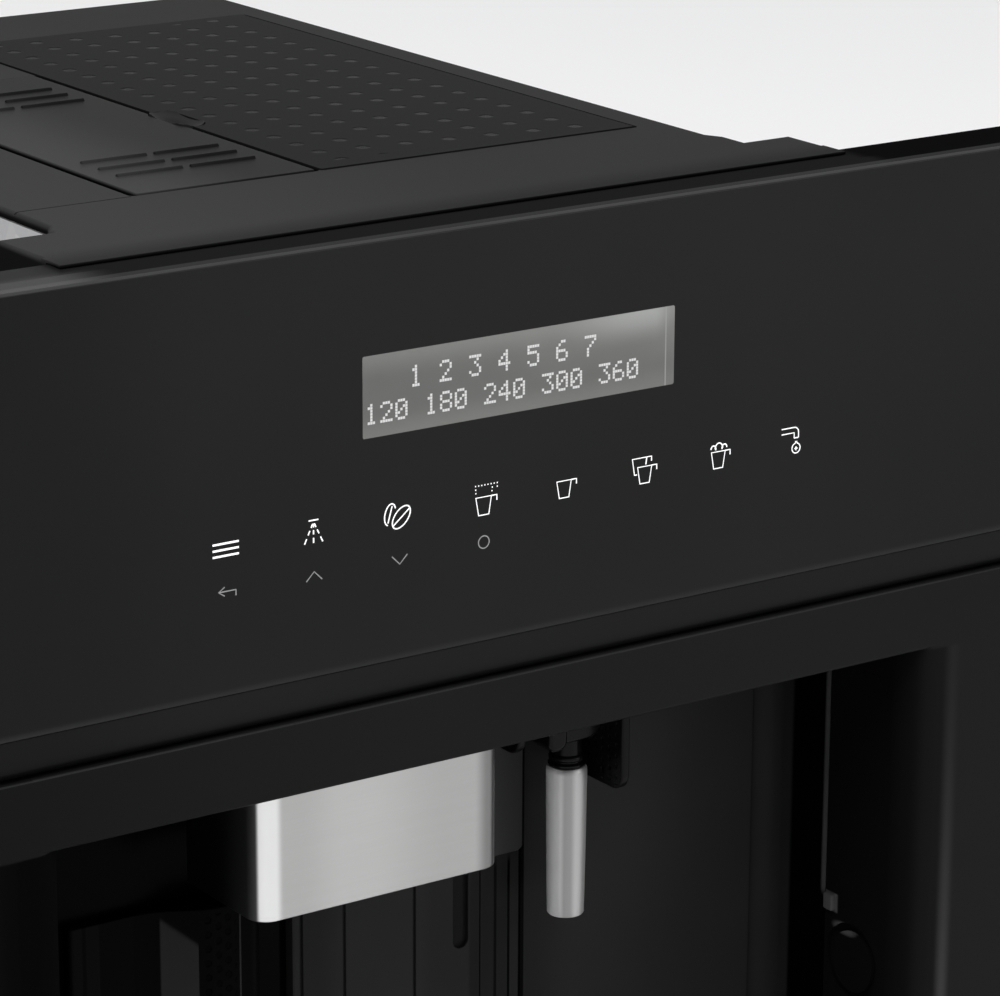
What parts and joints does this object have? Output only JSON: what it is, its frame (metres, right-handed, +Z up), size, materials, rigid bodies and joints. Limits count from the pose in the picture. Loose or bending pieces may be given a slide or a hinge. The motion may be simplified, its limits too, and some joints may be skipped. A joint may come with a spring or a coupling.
{
  "type": "built in coffee machine",
  "caption": "Built in automatic coffee machine with wide touch glass front, central niche with height adjustable spout, hot water spout, pull-out runners, drip tray and water tank.",
  "frame": {"origin": "centre of the bounding box in X and Y, underside of the fixed runners (cabinet floor) in Z", "axes": "+Z up; the control glass faces -Y; +X to the right of someone facing the front"},
  "size_m": [0.595, 0.412, 0.4598],
  "materials": {
    "black_glass": "polished black control glass",
    "gloss_black": "glossy black moulding",
    "satin_black": "fine satin black moulding",
    "dark_grey": "dark grey moulding",
    "light_grey": "light grey moulding",
    "brushed_steel": "brushed stainless steel",
    "polished_steel": "polished stainless steel",
    "zinc_sheet": "zinc plated sheet steel",
    "cast_aluminium": "raw cast aluminium",
    "signal_red": "red moulding",
    "board_green": "coated circuit board",
    "smoked_clear": "clear smoked moulding",
    "display_blue": "liquid crystal display"
  },
  "bodies": {
    "fixed_runners": {"runner_outer_right": "zinc_sheet", "runner_outer_left": "zinc_sheet", "runner_brace": "zinc_sheet"},
    "runner_middle_right": {"runner_middle_right": "zinc_sheet"},
    "runner_middle_left": {"runner_middle_left": "zinc_sheet"},
    "appliance": {"chassis": "zinc_sheet", "front_bracket_right": "zinc_sheet", "front_bracket_left": "zinc_sheet", "runner_inner_right": "zinc_sheet", "runner_inner_left": "zinc_sheet", "control_glass": "black_glass", "panel_frame": "satin_black", "panel_cover": "gloss_black", "display_module": "display_blue", "touch_board": "board_green", "front_frame": "gloss_black", "niche_liner": "satin_black", "niche_back_panel": "satin_black", "spout_guide": "satin_black", "hot_water_connector": "dark_grey", "side_panel_right": "zinc_sheet", "side_panel_left": "zinc_sheet", "rear_panel": "zinc_sheet", "top_cover": "satin_black", "bean_hopper": "smoked_clear", "grinder_housing": "dark_grey", "upper_burr": "polished_steel", "grinder_motor": "zinc_sheet", "coffee_funnel": "dark_grey", "inner_frame": "satin_black", "infuser": "dark_grey", "brew_drive": "light_grey", "thermoblock": "cast_aluminium", "pump": "zinc_sheet", "water_hose": "light_grey", "power_board": "board_green", "mains_inlet": "satin_black", "switch_frame": "satin_black", "tank_seat": "dark_grey"},
    "service_door": {"service_door": "satin_black"},
    "spout": {"spout_shell": "brushed_steel", "spout_body": "dark_grey", "spout_carriage": "satin_black"},
    "hot_water_spout": {"hot_water_holder": "satin_black", "hot_water_tube": "polished_steel"},
    "paddle_left": {"hot_water_paddle_left": "satin_black"},
    "paddle_right": {"hot_water_paddle_right": "satin_black"},
    "drip_tray": {"drip_tray": "gloss_black"},
    "cup_grid": {"cup_grid": "brushed_steel"},
    "tray_float": {"tray_float": "signal_red"},
    "grounds_container": {"grounds_container": "dark_grey"},
    "bean_lid": {"bean_lid": "satin_black"},
    "ground_coffee_lid": {"ground_coffee_lid": "satin_black"},
    "grind_knob": {"grind_knob": "light_grey"},
    "lower_burr": {"lower_burr": "polished_steel"},
    "infuser_piston": {"infuser_piston": "light_grey"},
    "main_switch": {"switch_rocker": "gloss_black"},
    "water_tank": {"water_tank": "smoked_clear"},
    "tank_lid": {"tank_lid": "satin_black"}
  },
  "joints": [
    {"name": "pull_out", "type": "slide", "parent": "fixed_runners", "child": "appliance", "axis": [0, -1, 0], "range_m": [0, 0.34]},
    {"name": "middle_right_slide", "type": "slide", "parent": "fixed_runners", "child": "runner_middle_right", "axis": [0, -1, 0], "range_m": [0, 0.17]},
    {"name": "middle_left_slide", "type": "slide", "parent": "fixed_runners", "child": "runner_middle_left", "axis": [0, -1, 0], "range_m": [0, 0.17]},
    {"name": "service_door_hinge", "type": "hinge", "parent": "appliance", "child": "service_door", "pos_m": [-0.1208, -0.1308, 0.16], "axis": [0, 0, -1], "range_deg": [0, 80]},
    {"name": "spout_height", "type": "slide", "parent": "appliance", "child": "spout", "axis": [0, 0, -1], "range_m": [0, 0.06]},
    {"name": "hot_water_pull_off", "type": "slide", "parent": "appliance", "child": "hot_water_spout", "axis": [0, -1, 0], "range_m": [0, 0.02]},
    {"name": "paddle_left_squeeze", "type": "hinge", "parent": "hot_water_spout", "child": "paddle_left", "pos_m": [0.0407, -0.143, 0.269], "axis": [0, -1, 0], "range_deg": [0, 4], "stiffness_Nm_per_rad": 0.05},
    {"name": "paddle_right_squeeze", "type": "hinge", "parent": "hot_water_spout", "child": "paddle_right", "pos_m": [0.0717, -0.143, 0.269], "axis": [0, 1, 0], "range_deg": [0, 4], "stiffness_Nm_per_rad": 0.05},
    {"name": "tray_pull", "type": "slide", "parent": "appliance", "child": "drip_tray", "axis": [0, -1, 0], "range_m": [0, 0.24]},
    {"name": "grid_lift", "type": "slide", "parent": "drip_tray", "child": "cup_grid", "axis": [0, 0, 1], "range_m": [0, 0.04]},
    {"name": "float_rise", "type": "slide", "parent": "drip_tray", "child": "tray_float", "axis": [0, 0, 1], "range_m": [0, 0.006]},
    {"name": "grounds_lift", "type": "slide", "parent": "drip_tray", "child": "grounds_container", "axis": [0, 0, 1], "range_m": [0, 0.02]},
    {"name": "bean_lid_hinge", "type": "hinge", "parent": "appliance", "child": "bean_lid", "pos_m": [0.1145, 0.016, 0.458], "axis": [0, 1, 0], "range_deg": [0, 95]},
    {"name": "ground_coffee_lid_hinge", "type": "hinge", "parent": "appliance", "child": "ground_coffee_lid", "pos_m": [-0.0805, -0.017, 0.458], "axis": [0, -1, 0], "range_deg": [0, 95]},
    {"name": "grind_setting", "type": "hinge", "parent": "appliance", "child": "grind_knob", "pos_m": [0.085, -0.088, 0.44], "axis": [0, 0, 1], "range_deg": [-130, 130]},
    {"name": "burr_spin", "type": "hinge", "parent": "appliance", "child": "lower_burr", "pos_m": [0.05, -0.036, 0.35], "axis": [0, 0, 1], "continuous": true},
    {"name": "piston_press", "type": "slide", "parent": "appliance", "child": "infuser_piston", "axis": [0, 0, 1], "range_m": [0, 0.03]},
    {"name": "main_switch_rock", "type": "hinge", "parent": "appliance", "child": "main_switch", "pos_m": [-0.124, 0.124, 0.38], "axis": [0, 0, 1], "range_deg": [-6, 6]},
    {"name": "tank_lift", "type": "slide", "parent": "appliance", "child": "water_tank", "axis": [0, 0, 1], "range_m": [0, 0.12]},
    {"name": "tank_lid_hinge", "type": "hinge", "parent": "water_tank", "child": "tank_lid", "pos_m": [0.18, 0.075, 0.18], "axis": [-1, 0, 0], "range_deg": [0, 90]}
  ],
  "couplings": [
    {"joint": "middle_right_slide", "follows": "pull_out", "ratio": 0.5},
    {"joint": "middle_left_slide", "follows": "pull_out", "ratio": 0.5}
  ]
}
